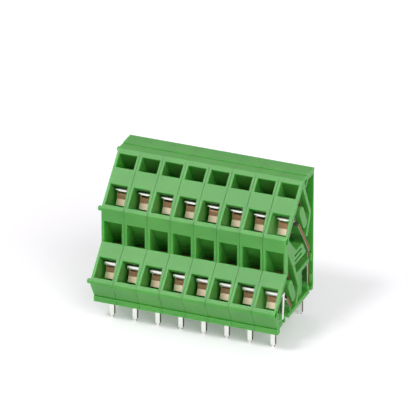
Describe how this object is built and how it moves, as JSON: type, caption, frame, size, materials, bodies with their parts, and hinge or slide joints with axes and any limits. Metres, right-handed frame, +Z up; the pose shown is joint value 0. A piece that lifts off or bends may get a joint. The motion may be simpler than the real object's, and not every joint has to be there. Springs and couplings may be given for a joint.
{
  "type": "circuit board terminal block",
  "caption": "Two-level spring-clamp terminal block for a circuit board: a row of pegged narrow plastic modules with sloping wire entries, screwdriver slots, leaf springs and solder pins.",
  "frame": {"origin": "middle of the row's box, at the tips of the solder pins", "axes": "+X along the row to its open side, -Y towards the wire entries, +Z up from the board"},
  "size_m": [0.0416, 0.022, 0.0335],
  "materials": {
    "green_plastic": "satin moulded polyamide",
    "tin_plate": "tin-plated copper alloy strip",
    "spring_bronze": "bare spring strip"
  },
  "bodies": {
    "block": {"housing_1": "green_plastic", "housing_2": "green_plastic", "housing_3": "green_plastic", "housing_4": "green_plastic", "housing_5": "green_plastic", "housing_6": "green_plastic", "housing_7": "green_plastic", "housing_8": "green_plastic", "lower_contact_1": "tin_plate", "lower_contact_2": "tin_plate", "lower_contact_3": "tin_plate", "lower_contact_4": "tin_plate", "lower_contact_5": "tin_plate", "lower_contact_6": "tin_plate", "lower_contact_7": "tin_plate", "lower_contact_8": "tin_plate", "upper_contact_1": "tin_plate", "upper_contact_2": "tin_plate", "upper_contact_3": "tin_plate", "upper_contact_4": "tin_plate", "upper_contact_5": "tin_plate", "upper_contact_6": "tin_plate", "upper_contact_7": "tin_plate", "upper_contact_8": "tin_plate"},
    "lower_clamp_1": {"lower_spring_1": "spring_bronze"},
    "lower_clamp_2": {"lower_spring_2": "spring_bronze"},
    "lower_clamp_3": {"lower_spring_3": "spring_bronze"},
    "lower_clamp_4": {"lower_spring_4": "spring_bronze"},
    "lower_clamp_5": {"lower_spring_5": "spring_bronze"},
    "lower_clamp_6": {"lower_spring_6": "spring_bronze"},
    "lower_clamp_7": {"lower_spring_7": "spring_bronze"},
    "lower_clamp_8": {"lower_spring_8": "spring_bronze"},
    "upper_clamp_1": {"upper_spring_1": "spring_bronze"},
    "upper_clamp_2": {"upper_spring_2": "spring_bronze"},
    "upper_clamp_3": {"upper_spring_3": "spring_bronze"},
    "upper_clamp_4": {"upper_spring_4": "spring_bronze"},
    "upper_clamp_5": {"upper_spring_5": "spring_bronze"},
    "upper_clamp_6": {"upper_spring_6": "spring_bronze"},
    "upper_clamp_7": {"upper_spring_7": "spring_bronze"},
    "upper_clamp_8": {"upper_spring_8": "spring_bronze"}
  },
  "joints": [
    {"name": "lower_flex_1", "type": "hinge", "parent": "block", "child": "lower_clamp_1", "pos_m": [-0.01741, 0.0004, 0.01185], "axis": [1, 0, 0], "range_deg": [0, 13], "stiffness_Nm_per_rad": 0.6, "deforming": ["lower_spring_1"]},
    {"name": "lower_flex_2", "type": "hinge", "parent": "block", "child": "lower_clamp_2", "pos_m": [-0.01232, 0.0004, 0.01185], "axis": [1, 0, 0], "range_deg": [0, 13], "stiffness_Nm_per_rad": 0.6, "deforming": ["lower_spring_2"]},
    {"name": "lower_flex_3", "type": "hinge", "parent": "block", "child": "lower_clamp_3", "pos_m": [-0.00724, 0.0004, 0.01185], "axis": [1, 0, 0], "range_deg": [0, 13], "stiffness_Nm_per_rad": 0.6, "deforming": ["lower_spring_3"]},
    {"name": "lower_flex_4", "type": "hinge", "parent": "block", "child": "lower_clamp_4", "pos_m": [-0.00216, 0.0004, 0.01185], "axis": [1, 0, 0], "range_deg": [0, 13], "stiffness_Nm_per_rad": 0.6, "deforming": ["lower_spring_4"]},
    {"name": "lower_flex_5", "type": "hinge", "parent": "block", "child": "lower_clamp_5", "pos_m": [0.00292, 0.0004, 0.01185], "axis": [1, 0, 0], "range_deg": [0, 13], "stiffness_Nm_per_rad": 0.6, "deforming": ["lower_spring_5"]},
    {"name": "lower_flex_6", "type": "hinge", "parent": "block", "child": "lower_clamp_6", "pos_m": [0.008, 0.0004, 0.01185], "axis": [1, 0, 0], "range_deg": [0, 13], "stiffness_Nm_per_rad": 0.6, "deforming": ["lower_spring_6"]},
    {"name": "lower_flex_7", "type": "hinge", "parent": "block", "child": "lower_clamp_7", "pos_m": [0.01307, 0.0004, 0.01185], "axis": [1, 0, 0], "range_deg": [0, 13], "stiffness_Nm_per_rad": 0.6, "deforming": ["lower_spring_7"]},
    {"name": "lower_flex_8", "type": "hinge", "parent": "block", "child": "lower_clamp_8", "pos_m": [0.01816, 0.0004, 0.01185], "axis": [1, 0, 0], "range_deg": [0, 13], "stiffness_Nm_per_rad": 0.6, "deforming": ["lower_spring_8"]},
    {"name": "upper_flex_1", "type": "hinge", "parent": "block", "child": "upper_clamp_1", "pos_m": [-0.01741, 0.0066, 0.02575], "axis": [1, 0, 0], "range_deg": [0, 13], "stiffness_Nm_per_rad": 0.6, "deforming": ["upper_spring_1"]},
    {"name": "upper_flex_2", "type": "hinge", "parent": "block", "child": "upper_clamp_2", "pos_m": [-0.01232, 0.0066, 0.02575], "axis": [1, 0, 0], "range_deg": [0, 13], "stiffness_Nm_per_rad": 0.6, "deforming": ["upper_spring_2"]},
    {"name": "upper_flex_3", "type": "hinge", "parent": "block", "child": "upper_clamp_3", "pos_m": [-0.00724, 0.0066, 0.02575], "axis": [1, 0, 0], "range_deg": [0, 13], "stiffness_Nm_per_rad": 0.6, "deforming": ["upper_spring_3"]},
    {"name": "upper_flex_4", "type": "hinge", "parent": "block", "child": "upper_clamp_4", "pos_m": [-0.00216, 0.0066, 0.02575], "axis": [1, 0, 0], "range_deg": [0, 13], "stiffness_Nm_per_rad": 0.6, "deforming": ["upper_spring_4"]},
    {"name": "upper_flex_5", "type": "hinge", "parent": "block", "child": "upper_clamp_5", "pos_m": [0.00292, 0.0066, 0.02575], "axis": [1, 0, 0], "range_deg": [0, 13], "stiffness_Nm_per_rad": 0.6, "deforming": ["upper_spring_5"]},
    {"name": "upper_flex_6", "type": "hinge", "parent": "block", "child": "upper_clamp_6", "pos_m": [0.008, 0.0066, 0.02575], "axis": [1, 0, 0], "range_deg": [0, 13], "stiffness_Nm_per_rad": 0.6, "deforming": ["upper_spring_6"]},
    {"name": "upper_flex_7", "type": "hinge", "parent": "block", "child": "upper_clamp_7", "pos_m": [0.01307, 0.0066, 0.02575], "axis": [1, 0, 0], "range_deg": [0, 13], "stiffness_Nm_per_rad": 0.6, "deforming": ["upper_spring_7"]},
    {"name": "upper_flex_8", "type": "hinge", "parent": "block", "child": "upper_clamp_8", "pos_m": [0.01816, 0.0066, 0.02575], "axis": [1, 0, 0], "range_deg": [0, 13], "stiffness_Nm_per_rad": 0.6, "deforming": ["upper_spring_8"]}
  ]
}
